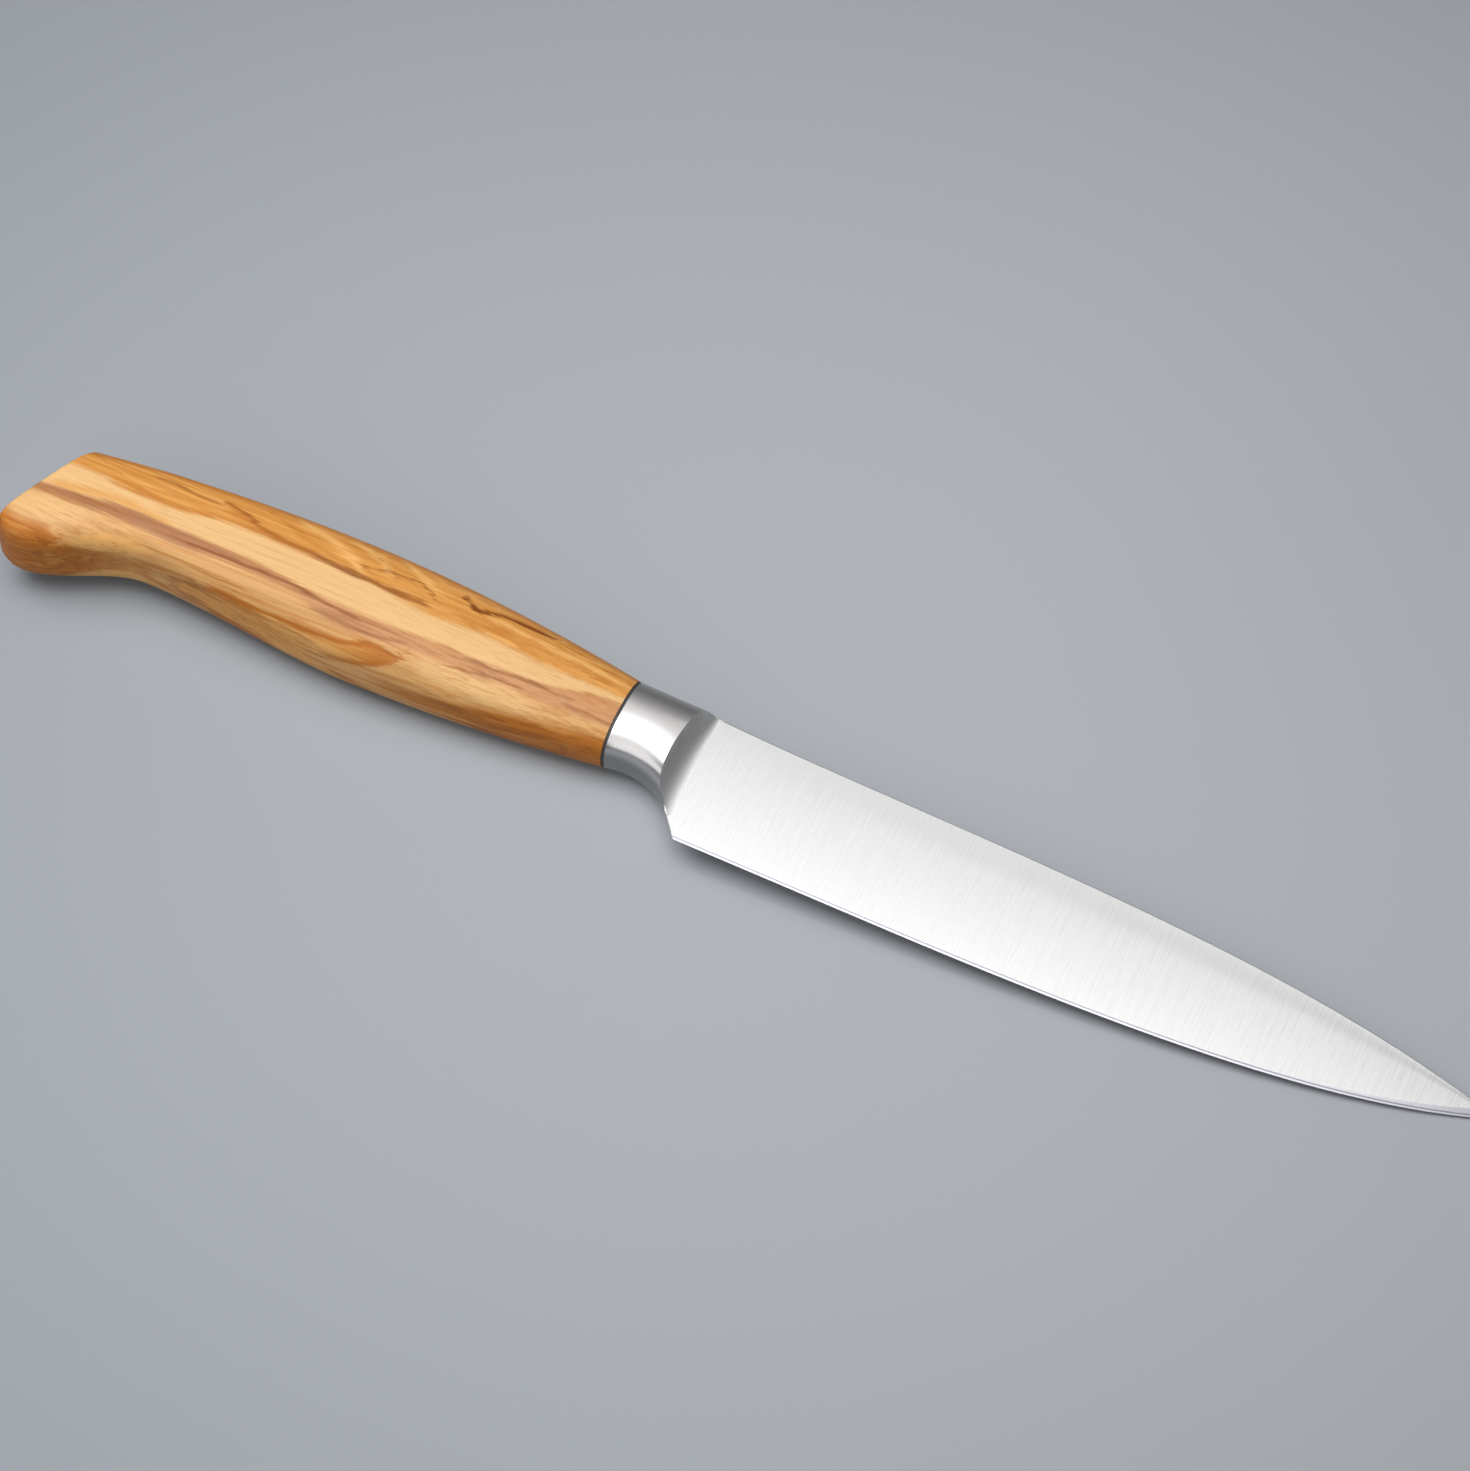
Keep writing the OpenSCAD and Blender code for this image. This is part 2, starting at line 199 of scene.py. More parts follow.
class WoodFinish(bpy.types.PropertyGroup):
    """Colours and grain of the olive wood."""
    cream: colour("Cream", 0.595, 0.37, 0.163, "Pale sapwood bands")
    gold: colour("Gold", 0.53, 0.295, 0.112, "Golden ground between the bands")
    tan: colour("Tan", 0.43, 0.235, 0.085, "Duller streaks in the golden ground")
    orange: colour("Orange", 0.53, 0.248, 0.06, "Figured wood along the back")
    swirl: colour("Swirl", 0.62, 0.33, 0.105, "Pale swirls in the figured wood")
    heart: colour("Heart", 0.305, 0.136, 0.06, "Mauve-brown heart stripe")
    pink: colour("Pink", 0.435, 0.212, 0.088, "Faded stretch of the heart stripe near the joint")
    vein: colour("Vein", 0.16, 0.042, 0.006, "Thin dark growth lines")
    # Flame also serves as painted shade on the belly's underside and in the band along the back
    flame: colour("Flame", 0.35, 0.112, 0.012, "Orange-brown flame, belly and beak")
    roughness: factor("Roughness", 0.46, "Roughness of the oiled wood")


class SteelFinish(bpy.types.PropertyGroup):
    """Colours and polish of the steel."""
    steel: colour("Steel", 0.685, 0.683, 0.683, "Ground stainless steel")
    bolster: colour("Bolster", 0.53, 0.518, 0.514, "Polished steel of the bolster")
    bevel: colour("Bevel", 0.36, 0.352, 0.385, "Honed steel of the cutting bevel")
    hone_line: colour("Hone line", 0.14, 0.14, 0.16, "Fine line at which the honing of the bevel ends")
    # Notch: painted shade, darker steel that stands in for the notch's dim reflection of the shaded floor
    notch: colour("Notch", 0.27, 0.267, 0.263, "Darker steel inside the finger notch")
    polish: factor("Polish", 0.46, "Roughness of the polished bolster")
    satin: factor("Satin", 0.25, "Roughness of the ground flanks")
    grind: factor("Grind", 0.55, "Roughness of the ground plunge")
    honed: factor("Honed", 0.45, "Roughness of the honed bevel")
    fibre: colour("Fibre", 0.012, 0.011, 0.011, "Black fibre of the spacer")
    resin: colour("Resin", 0.7, 0.5, 0.2, "Cured resin round the tang")


class StageSettings(bpy.types.PropertyGroup):
    """Floor, light and camera."""
    floor: colour("Floor", 0.308, 0.324, 0.349, "Plain pale floor")
    floor_size: length("Floor size", 6000, "Side of the square floor")
    light_height: length("Light height", 600, "Height of the soft lights over the floor")
    broad_reach: sides("Broad reach", 600, 208, 700, 340, "Reach of the broad light to -X, +X, -Y and +Y")
    broad_radiance: number("Broad radiance", 1.22, "Radiance of the broad light")
    front_reach: sides("Front reach", 3000, 208, 6000, -700, "Reach of the wider light in front of it")
    front_radiance: number("Front radiance", 1.45, "Radiance of the wider light")
    key_reach: sides("Key reach", 600, 208, 260, 130, "Reach of the key light")
    key_radiance: number("Key radiance", 4.45, "Radiance that the key light adds")
    room: colour("Room", 0.1, 0.1, 0.1, "Dim light from the room around the floor")
    view_azimuth: angle("View azimuth", 25.162, "How far the camera swings from -Y towards +X")
    view_elevation: angle("View elevation", 57, "How steeply the camera looks down")
    view_distance: length("View distance", 750, "Distance of the camera from its aim")
    view_aim: FloatVectorProperty(
        name="View aim", description="Point that the camera aims at", subtype="XYZ", unit="LENGTH",
        default=(-4.971 * MM, 9.672 * MM, 6.4 * MM))
    lens_pixels: number("Focal length", 4174.5, "Focal length in pixels of the full image")
    sensor: number("Sensor", 36.0, "Width of the camera's sensor, in millimetres")


class KnifeSettings(bpy.types.PropertyGroup):
    """Everything that a user sets on the knife and its stage."""
    blade: PointerProperty(type=BladeSizes)
    bolster: PointerProperty(type=BolsterSizes)
    joint: PointerProperty(type=JointSizes)
    handle: PointerProperty(type=HandleSizes)
    detail: PointerProperty(type=MeshDetail)
    wood: PointerProperty(type=WoodFinish)
    steel: PointerProperty(type=SteelFinish)
    stage: PointerProperty(type=StageSettings)


def ease(t):
    """Smooth step from 0 to 1."""
    u = np.clip(t, 0, 1)
    return u * u * (3 - 2 * u)


def signed_power(value, exponent):
    """Power that keeps the sign of its base."""
    return np.sign(value) * np.abs(value) ** exponent


def bezier(points, steps):
    """Points along a cubic curve."""
    start, lead, back, end = (np.array(p) for p in points)
    t = np.linspace(0, 1, steps)[:, None]
    return (1 - t) ** 3 * start + 3 * t * (1 - t) ** 2 * lead + 3 * t * t * (1 - t) * back + t ** 3 * end


def heading(turn):
    """Unit vector in the blade's plane."""
    return np.array((math.cos(turn), math.sin(turn)))


def stack(x, y, z):
    """Points from coordinates that share or spread to one shape."""
    return np.stack(np.broadcast_arrays(x, y, z), axis=-1)


class Plan:
    """Places that follow from the sizes. The knife's own frame has the joint at x = 0, +X to the tip,
    +Y to the spine and Z across the thickness."""

    curve_steps = 600
    end_passes = 20

    def __init__(self, settings):
        self.blade = settings.blade
        self.bolster = settings.bolster
        self.joint = settings.joint
        self.handle = settings.handle
        self.detail = settings.detail
        self.round = np.linspace(0, 2 * math.pi, self.detail.round_points, endpoint=False)
        self.place_notch()
        self.draw_blade()

    def place_notch(self):
        """The finger notch's axis, set so that the heel's back edge just bites it, and the joint's oval."""
        bolster, joint = self.bolster, self.joint
        self.heel = np.array((bolster.length, bolster.spine_height - self.blade.height))
        self.notch_y = -bolster.notch_depth - bolster.notch_r
        rise = (self.notch_y - self.heel[1]) * math.cos(bolster.heel_angle)
        away = bolster.notch_r - bolster.notch_bite + rise
        self.notch_x = self.heel[0] - away / math.sin(bolster.heel_angle)
        self.joint_bottom = self.notch_y + math.sqrt(bolster.notch_r ** 2 - self.notch_x ** 2)
        self.joint_mid = (joint.top + self.joint_bottom) / 2
        self.joint_half = (joint.top - self.joint_bottom) / 2

    def draw_blade(self):
        """Spine and edge of the blade as fine polylines, and the slope of its flanks."""
        blade, bolster = self.blade, self.bolster
        self.spine_start = np.array((bolster.plunge_at, bolster.spine_height))
        self.tip = self.heel + np.array((blade.length, blade.tip_rise))
        straight_end = self.heel + np.array((blade.straight_edge, 0))
        self.spine = bezier((
            self.spine_start,
            self.spine_start + blade.spine_lead * heading(-blade.spine_fall),
            self.tip - blade.spine_tip_lead * heading(-blade.spine_tip_angle),
            self.tip), self.curve_steps)
        belly = bezier((
            straight_end,
            straight_end + np.array((blade.belly_lead, 0)),
            self.tip - blade.edge_tip_lead * heading(blade.edge_tip_angle),
            self.tip), self.curve_steps)
        self.edge = np.vstack((self.heel, belly))
        self.flank_angle = math.atan((blade.spine_thick - blade.edge_thick) / 2 / blade.height)

    def flank_half(self, x, y):
        """Half thickness of the blade at a point of its side view."""
        blade = self.blade
        rise = (y - self.heel[1]) * math.tan(self.flank_angle)
        return blade.edge_thick / 2 + rise - (x - self.heel[0]) * math.tan(blade.distal_taper)

    def joint_oval(self, inset=0):
        """Height and depth of the points round the joint's oval section."""
        power = 2 / self.joint.square
        y = self.joint_mid + (self.joint_half - inset) * signed_power(np.cos(self.round), power)
        z = (self.joint.thick / 2 - inset) * signed_power(np.sin(self.round), power)
        return y, z

    def laid_down(self):
        """Matrix that lays the knife's own frame where the CAD model lies. The block_slot mount is at the
        heel, half way up the blade, and points along the knife."""
        slot = next(m for m in frame["record"]["mounts"] if m["name"] == "block_slot")
        lie = math.asin(-slot["axis"][2])
        turn = Matrix.Rotation(lie, 4, "Y")
        slot_at = Vector((self.heel[0], self.heel[1] + self.blade.height / 2, 0))
        return Matrix.Translation(Vector(slot["pos_m"]) - turn @ slot_at) @ turn

    def rise(self, t):
        """Quick rise from 0 to 1 that flattens out, as the grip swells behind the joint."""
        return 1 - (1 - np.clip(t, 0, 1)) ** self.handle.swell

    def stretches(self, d, at_joint, at_belly, at_waist, at_beak):
        """A size of the grip that eases from the joint to the belly, the waist and the beak."""
        handle = self.handle
        swelling = at_joint + (at_belly - at_joint) * self.rise(d / handle.belly_at)
        to_waist = ease((d - handle.belly_at) / (handle.waist_at - handle.belly_at))
        to_beak = ease((d - handle.waist_at) / (handle.beak_at - handle.waist_at))
        behind = at_belly + (at_waist - at_belly) * to_waist + (at_beak - at_waist) * to_beak
        return np.where(d < handle.belly_at, swelling, behind)

    def back_height(self, d):
        """Height of the grip's back at a distance behind the joint."""
        handle = self.handle
        corner_at = handle.butt_at - math.tan(handle.butt_slant) * handle.corner_height
        swelling = self.joint.top + (handle.crest_height - self.joint.top) * self.rise(d / handle.crest_at)
        share = (d - handle.crest_at) / (corner_at - handle.crest_at)
        falling = handle.crest_height - (handle.crest_height - handle.corner_height) * share ** 2
        return np.where(d < handle.crest_at, swelling, falling)

    def belly_height(self, d):
        """Height of the grip's belly at a distance behind the joint, with the chin rounded up."""
        handle = self.handle
        heights = (-handle.belly_depth, -handle.waist_depth, -handle.beak_depth)
        line = self.stretches(d, self.joint_bottom, *heights)
        return line + np.maximum(0, d - handle.beak_at) ** 2 / (2 * handle.chin_r)

    def half_thick(self, d):
        """Half thickness of the grip at a distance behind the joint."""
        handle = self.handle
        sizes = (handle.grip_thick, handle.waist_thick, handle.butt_thick)
        return self.stretches(d, self.joint.thick, *sizes) / 2

    def squareness(self, d):
        """Squareness of the grip's section at a distance behind the joint."""
        growth = self.handle.butt_square - self.joint.square
        return self.joint.square + growth * ease(d / self.handle.beak_at)

    def skin(self, d, a):
        """Points of the grip's skin at a distance behind the joint and an angle round the section."""
        top, bottom = self.back_height(d), self.belly_height(d)
        power = 2 / self.squareness(d)
        y = (top + bottom) / 2 + (top - bottom) / 2 * signed_power(np.cos(a), power)
        return stack(-d, y, self.half_thick(d) * signed_power(np.sin(a), power))

    def end_distance(self, plane_at):
        """Distance at which each line along the skin meets a plane with the end face's slant."""
        d = np.full_like(self.round, self.handle.beak_at)
        for _ in range(self.end_passes):
            d = plane_at - math.tan(self.handle.butt_slant) * self.skin(d, self.round)[:, 1]
        return d

    def around(self, points):
        """Height of each point on the grip as an angle, in degrees from the back down to the belly."""
        d = -points[:, 0]
        top, bottom = self.back_height(d), self.belly_height(d)
        height = np.clip((points[:, 1] * 2 - top - bottom) / (top - bottom), -1, 1)
        return np.degrees(np.arccos(height))


def new_object(name, points, faces, materials, zones=None):
    """A mesh object with outward normals. Zones gives each face's material by index."""
    mesh = bpy.data.meshes.new(name)
    mesh.from_pydata([tuple(p) for p in points], [], faces)
    for material in materials:
        mesh.materials.append(material)
    if zones is not None:
        mesh.polygons.foreach_set("material_index", zones)
    edit = bmesh.new()
    edit.from_mesh(mesh)
    bmesh.ops.remove_doubles(edit, verts=edit.verts, dist=WELD_DISTANCE)
    bmesh.ops.recalc_face_normals(edit, faces=edit.faces)
    edit.to_mesh(mesh)
    edit.free()
    piece = bpy.data.objects.new(name, mesh)
    bpy.context.scene.collection.objects.link(piece)
    return piece


def ring_faces(rings, points, wrap=False):
    """Quads between rings of points, with the rings closed to a loop or the ends capped."""
    faces = []
    for i in range(rings if wrap else rings - 1):
        a, b = i * points, (i + 1) % rings * points
        faces += [(a + j, b + j, b + (j + 1) % points, a + (j + 1) % points) for j in range(points)]
    if not wrap:
        faces.append(tuple(range(points)))
        faces.append(tuple(range((rings - 1) * points, rings * points)))
    return faces


def loft(name, rings, materials, wrap=False):
    """A closed skin through rings that have the same number of points."""
    faces = ring_faces(len(rings), len(rings[0]), wrap)
    return new_object(name, np.concatenate(rings), faces, materials)


def prism(name, outline, low, high, materials):
    """An outline in XY, extruded along Z."""
    rings = [stack(outline[:, 0], outline[:, 1], z) for z in (low, high)]
    return loft(name, rings, materials)


def settle(piece):
    """Makes a piece's modifiers part of its mesh."""
    seen = piece.evaluated_get(bpy.context.evaluated_depsgraph_get())
    old, piece.data = piece.data, bpy.data.meshes.new_from_object(seen)
    piece.modifiers.clear()
    bpy.data.meshes.remove(old)


def combine(piece, tool, operation):
    """Cuts a tool from a piece or fuses it on, and clears the tool away."""
    modifier = piece.modifiers.new(operation.title(), "BOOLEAN")
    modifier.operation = operation
    modifier.solver = "EXACT"
    modifier.material_mode = "TRANSFER"
    modifier.object = tool
    settle(piece)
    bpy.data.meshes.remove(tool.data)
    if not piece.data.polygons:
        raise RuntimeError(f"{operation.lower()} left nothing of {piece.name}")


def smooth(piece, limit):
    """Shades a piece smooth between its sharp edges, with large faces kept flat."""
    piece.data.shade_smooth()
    piece.data.set_sharp_from_angle(angle=limit)
    modifier = piece.modifiers.new("Weighted normals", "WEIGHTED_NORMAL")
    modifier.keep_sharp = True
    modifier.weight = 100
    settle(piece)


def mesh_points(piece):
    """Places of a piece's points in the knife's own frame."""
    return np.array([v.co for v in piece.data.vertices])


def mark(piece, name, values):
    """Gives each point of a piece a value for its material."""
    attribute = piece.data.attributes.new(name, "FLOAT", "POINT")
    attribute.data.foreach_set("value", values.astype(np.float32))


def hand_over(piece, plan, node):
    """Lays a finished piece down in the frame, in place of its CAD node."""
    piece.data.transform(plan.laid_down())
    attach(piece, BODY)
    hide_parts(node)


def math_pair(operation):
    """Methods that add a Math node, with the socket on the left of the sign and on its right."""
    def straight(self, other):
        return self.math(operation, self, other)

    def reflected(self, other):
        return self.math(operation, other, self)

    return straight, reflected


class Socket:
    """An output of a shader node. Arithmetic on it adds Math nodes, also with a plain number on its left."""

    def __init__(self, shader, output):
        self.shader = shader
        self.output = output

    def math(self, operation, *values):
        """Adds a Math node on sockets and numbers."""
        return self.shader.node("ShaderNodeMath", {"operation": operation}, dict(enumerate(values)))

    __add__, __radd__ = math_pair("ADD")
    __sub__, __rsub__ = math_pair("SUBTRACT")
    __mul__, __rmul__ = math_pair("MULTIPLY")
    __truediv__, __rtruediv__ = math_pair("DIVIDE")
    __pow__, __rpow__ = math_pair("POWER")

    def __abs__(self):
        return self.math("ABSOLUTE", self)


class Shader:
    """A material whose Principled shader is fed by expressions."""

    def __init__(self, name, **constants):
        self.material = bpy.data.materials.new(name)
        self.material.use_nodes = True
        self.tree = self.material.node_tree
        self.surface = self.tree.nodes["Principled BSDF"]
        for socket, value in constants.items():
            self.surface.inputs[socket.replace("_", " ")].default_value = value
        self.place = self.node("ShaderNodeTexCoord", {}, {}, "Object")

    def node(self, kind, settings, inputs, output=0):
        """Adds a node, sets its settings, then its sockets to values or links, and returns one output."""
        node = self.tree.nodes.new(kind)
        for setting, value in settings.items():
            if setting == "points":
                set_points(node.mapping, value)
            else:
                setattr(node, setting, value)
        for socket, value in inputs.items():
            if isinstance(value, Socket):
                self.tree.links.new(value.output, node.inputs[socket])
            else:
                node.inputs[socket].default_value = value
        return Socket(self, node.outputs[output])

    def feed(self, socket, value):
        """Links a varying value to the Principled shader."""
        self.tree.links.new(value.output, self.surface.inputs[socket])

    def noise(self, along, across, detail=2.0, roughness=0.5, offset=0.0):
        """Noise from 0 to 1 with its own sizes along the knife and across it, in metres."""
        scale = (1 / along, 1 / across, 1 / across)
        scaled = self.node("ShaderNodeVectorMath", {"operation": "MULTIPLY"}, {0: self.place, 1: scale})
        shift = (offset, offset, offset)
        moved = self.node("ShaderNodeVectorMath", {"operation": "ADD"}, {0: scaled, 1: shift})
        return self.node("ShaderNodeTexNoise", {}, {
            "Vector": moved, "Scale": 1.0, "Detail": detail, "Roughness": roughness}, "Fac")

    def attribute(self, name):
        """A value that the mesh carries on its points."""
        return self.node("ShaderNodeAttribute", {"attribute_name": name}, {}, "Fac")

    def step(self, value, low, high):
        """Smooth step from 0 at low to 1 at high, or falling where high is the lesser."""
        inputs = {"Value": value, "From Min": low, "From Max": high}
        return self.node("ShaderNodeMapRange", {"interpolation_type": "SMOOTHSTEP"}, inputs)

    def mix(self, share, first, second, blend="MIX"):
        """Mixes two colours."""
        colours = [c if isinstance(c, Socket) else (*c, 1.0) for c in (first, second)]
        settings = {"data_type": "RGBA", "blend_type": blend}
        return self.node("ShaderNodeMix", settings, {0: share, 6: colours[0], 7: colours[1]}, 2)

    def bump(self, height, strength, distance):
        """Feeds a height to the shader's normal."""
        inputs = {"Height": height, "Strength": strength, "Distance": distance}
        self.feed("Normal", self.node("ShaderNodeBump", {}, inputs))


def shade(tint, share):
    """A colour made darker or lighter."""
    return [share * part for part in tint]


def set_points(mapping, points):
    """Gives a curve its points, which lie from 0 to 1 both ways."""
    curve = mapping.curves[0]
    while len(curve.points) < len(points):
        curve.points.new(0.5, 0.5)
    for point, (x, y) in zip(curve.points, sorted(points)):
        point.location = (x, y)
    mapping.update()


GRAIN_LENGTH = 120.0
GRAIN_TURN = 200.0

# The lines of the figure run through points, each a distance behind the joint in millimetres and an angle
# from the back round to the belly in degrees. Swirls and veins add their width in degrees, and veins the
# share of their colour.
BACK_LINE = (
    (0, 80), (10, 85), (30, 85), (40, 88), (50, 82), (70, 80), (82, 82), (90, 89), (97, 88), (101, 82),
    (105, 73), (108, 66), (114, 61))
HEART_TOP = (
    (0, 91), (5, 93), (11, 103), (20, 109), (40, 113), (60, 113), (73, 110), (93, 111), (100, 104),
    (108, 94), (113, 91), (118, 90))
HEART_BOTTOM = (
    (0, 127), (20, 127), (40, 131), (50, 135), (58, 129), (64, 124), (76, 124), (90, 132), (97, 127),
    (104, 113), (112, 101), (118, 99))
FLAME_TOP = (
    (38, 143), (43, 139), (49, 140), (51, 148), (58, 154), (66, 159), (73, 164), (80, 170), (88, 178))
FLAME_BACK = ((38, 138), (41, 144), (43, 155), (48, 167), (52, 172), (58, 178))
BELLY_LINE = (
    (0, 143), (10, 148), (20, 157), (30, 169), (42, 178), (50, 190), (92, 190), (99, 181), (104, 173),
    (107, 162), (110, 146), (113, 137), (119, 136))
BUTT_TONGUE = ((92, 109), (97, 103), (102, 95), (107, 89), (113, 86))
SWIRLS = (
    (((42, 57), (45, 50), (48, 40)), 9.0),
    (((51, 60), (54, 50), (58, 40)), 9.0),
    (((56, 70), (58, 64), (62, 55), (68, 46)), 9.0),
    (((0, 64), (12, 63), (28, 66)), 7.0))
DARK_VEINS = (
    (((16, 38), (16.5, 46), (20, 49), (24, 52), (28, 55), (30, 60), (31.5, 62.5), (33, 61), (34.5, 57)),
     4.6, 1.0),
    (((42, 80), (50, 80), (62, 78), (72, 76), (76, 72), (79, 65), (82, 59)), 4.4, 0.85),
    (((87, 61), (91, 58), (94, 55), (97, 53)), 3.5, 0.6),
    (((41, 68), (42, 65), (44, 60), (47, 62), (50, 63), (53, 67)), 2.4, 0.6),
    (((49, 64), (52, 56), (55, 41)), 3.0, 0.3),
    (((63, 115), (66, 115), (70, 117), (75, 119), (80, 121), (85, 123)), 3.6, 0.75),
    (((52, 121), (57, 119), (62, 116)), 3.0, 0.6),
    (((42, 127), (48, 129), (52, 130), (58, 129)), 3.6, 0.5),
    (((19, 123), (23, 124), (27, 125), (31, 129)), 2.6, 0.6),
    (((15, 109), (18, 110), (22, 113), (28, 113)), 3.2, 0.6),
    (((0, 121), (4, 120), (9, 118)), 3.0, 0.5),
    (((43, 141), (46, 140), (50, 147), (54, 152), (62, 158), (70, 163), (78, 169), (86, 177)), 4.0, 0.6),
    (((41, 145), (43, 155), (48, 167), (53, 173)), 4.0, 0.35),
    (((58, 166), (66, 168), (74, 171), (82, 176)), 4.0, 0.4))
BROWN_VEINS = (
    (((45, 141), (50, 147), (54, 152), (62, 158), (70, 163), (78, 169)), 5.0, 0.9),
    (((41, 144), (43, 155), (48, 167), (52, 172)), 5.0, 0.7),
    (((0, 70), (10, 70), (20, 69), (36, 72), (44, 80)), 5.0, 0.3),
    (((60, 148), (70, 152), (80, 158), (92, 166)), 4.0, 0.3),
    (((84, 169), (88, 173), (94, 178)), 4.0, 0.7),
    (((97, 179), (101, 177), (106, 174), (112, 171)), 8.0, 0.5),
    (((66, 77), (70, 77), (74, 75), (78, 72), (82, 67)), 9.0, 0.6),
    (((86, 82), (92, 85), (97, 84), (101, 78), (106, 68), (112, 58)), 7.0, 0.4),
    (((62, 69), (67, 64), (72, 55), (76, 44)), 6.0, 0.35),
    (((80, 66), (86, 70), (94, 68), (104, 58), (112, 50)), 5.0, 0.3))


class Grain:
    """The figure of the wood, drawn along the handle in millimetres and round it in degrees."""

    def __init__(self, shader):
        self.shader = shader
        coarse = shader.noise(30 * MM, 6 * MM, 2) - 0.5
        middle = shader.noise(9 * MM, 1.4 * MM, 2, 0.5, 7.0) - 0.5
        fine = shader.noise(6 * MM, 0.3 * MM, 2, 0.6, 13.0) - 0.5
        ragged = shader.noise(14 * MM, 0.9 * MM, 3, 0.6, 17.0) - 0.5
        wander = 4 + shader.attribute("far_side") * 60
        self.along = shader.attribute("along") + ragged * 7
        self.around = shader.attribute("around") + coarse * wander + middle * 6 + fine * 5

    def path(self, points):
        """Angle of a line that wanders along the handle through a few points."""
        shares = [(along / GRAIN_LENGTH, around / GRAIN_TURN) for along, around in points]
        value = self.along / GRAIN_LENGTH
        return self.shader.node("ShaderNodeFloatCurve", {"points": shares}, {"Value": value}) * GRAIN_TURN

    def below(self, path, soft):
        """1 on the belly's side of a path and 0 on the back's side."""
        return self.shader.step(self.around - path, -soft, soft)

    def stretch(self, near, far, fade):
        """1 between two distances behind the joint."""
        begun = self.shader.step(self.along, near - fade, near)
        return begun * self.shader.step(self.along, far + fade, far)

    def vein(self, points, width, fade=3):
        """1 along a line through a few points, fading to 0 within its width and at its ends."""
        off = abs(self.around - self.path(points))
        return self.shader.step(off, width, 0.0) * self.stretch(points[0][0], points[-1][0], fade)

    def spot(self, along, around, reach, turn):
        """1 in the middle of a soft spot with its own reach along the handle and round it."""
        out = ((self.along - along) / reach) ** 2 + ((self.around - around) / turn) ** 2
        return self.shader.step(out, 1.0, 0.0)

    def rings(self, along, across, count, offset):
        """Growth rings: each runs from 0 slowly up to 1 and drops back."""
        field = self.shader.noise(along, across, 1.5, 0.5, offset) * count
        return field.math("FRACT", field)


def golden_ground(grain, finish, streak, brown):
    """Golden wood with duller streaks and a few dull or pale spots."""
    shader = grain.shader
    ground = shader.mix(shader.step(streak, 0.42, 0.62), finish.gold, finish.tan)
    ground = shader.mix(shader.step(brown, 0.46, 0.66) * 0.45, ground, finish.flame)
    spots = (
        ((74, 146, 22, 16), 0.45, finish.tan),
        ((99, 162, 9, 20), 1.0, finish.swirl),
        ((112, 115, 12, 26), 0.7, finish.cream),
        ((25, 141, 20, 18), 0.8, finish.cream))
    for spot, share, tint in spots:
        ground = shader.mix(grain.spot(*spot) * share, ground, tint)
    return ground


def figured_back(grain, finish, brown):
    """Orange wood of the back with growth rings and pale swirls."""
    shader = grain.shader
    rings = grain.rings(34 * MM, 4 * MM, 5.0, 3.0)
    figured = shader.mix(shader.step(rings, -0.4, 0.5), finish.swirl, finish.orange)
    figured = shader.mix(shader.step(rings, 0.4, 1.0) * 0.22, figured, finish.flame)
    figured = shader.mix(shader.step(brown, 0.46, 0.66) * 0.5, figured, finish.flame)
    for points, width in SWIRLS:
        figured = shader.mix(grain.vein(points, width), figured, finish.swirl)
    return figured


def heart_wood(grain, finish, brown):
    """Mauve heart, pinker towards the joint."""
    shader = grain.shader
    heart = shader.mix(shader.step(grain.along, 92.0, 55.0), finish.heart, finish.pink)
    return shader.mix(shader.step(brown, 0.45, 0.7) * 0.5, heart, finish.vein)


def flame_wood(grain, finish, brown):
    """Flame: dark at its tip, orange behind it and pale in its lower half."""
    shader = grain.shader
    lit = shader.mix(shader.step(grain.along, 43.0, 53.0), finish.flame, finish.orange)
    lit = shader.mix(shader.step(brown, 0.42, 0.62) * 0.25, lit, finish.flame)
    return shader.mix(grain.spot(58, 167, 12, 15) * 0.7, lit, finish.swirl)


def belly_wood_and_shade(grain, finish, streak, brown):
    """Browner wood of the belly and the beak, darkened further as painted shade where the underside turns
    from the light.
    """
    shader = grain.shader
    dark = shader.mix(shader.step(streak, 0.52, 0.34) * 0.5, finish.flame, finish.orange)
    return shader.mix(shader.step(brown, 0.44, 0.64) * 0.55, dark, finish.vein)


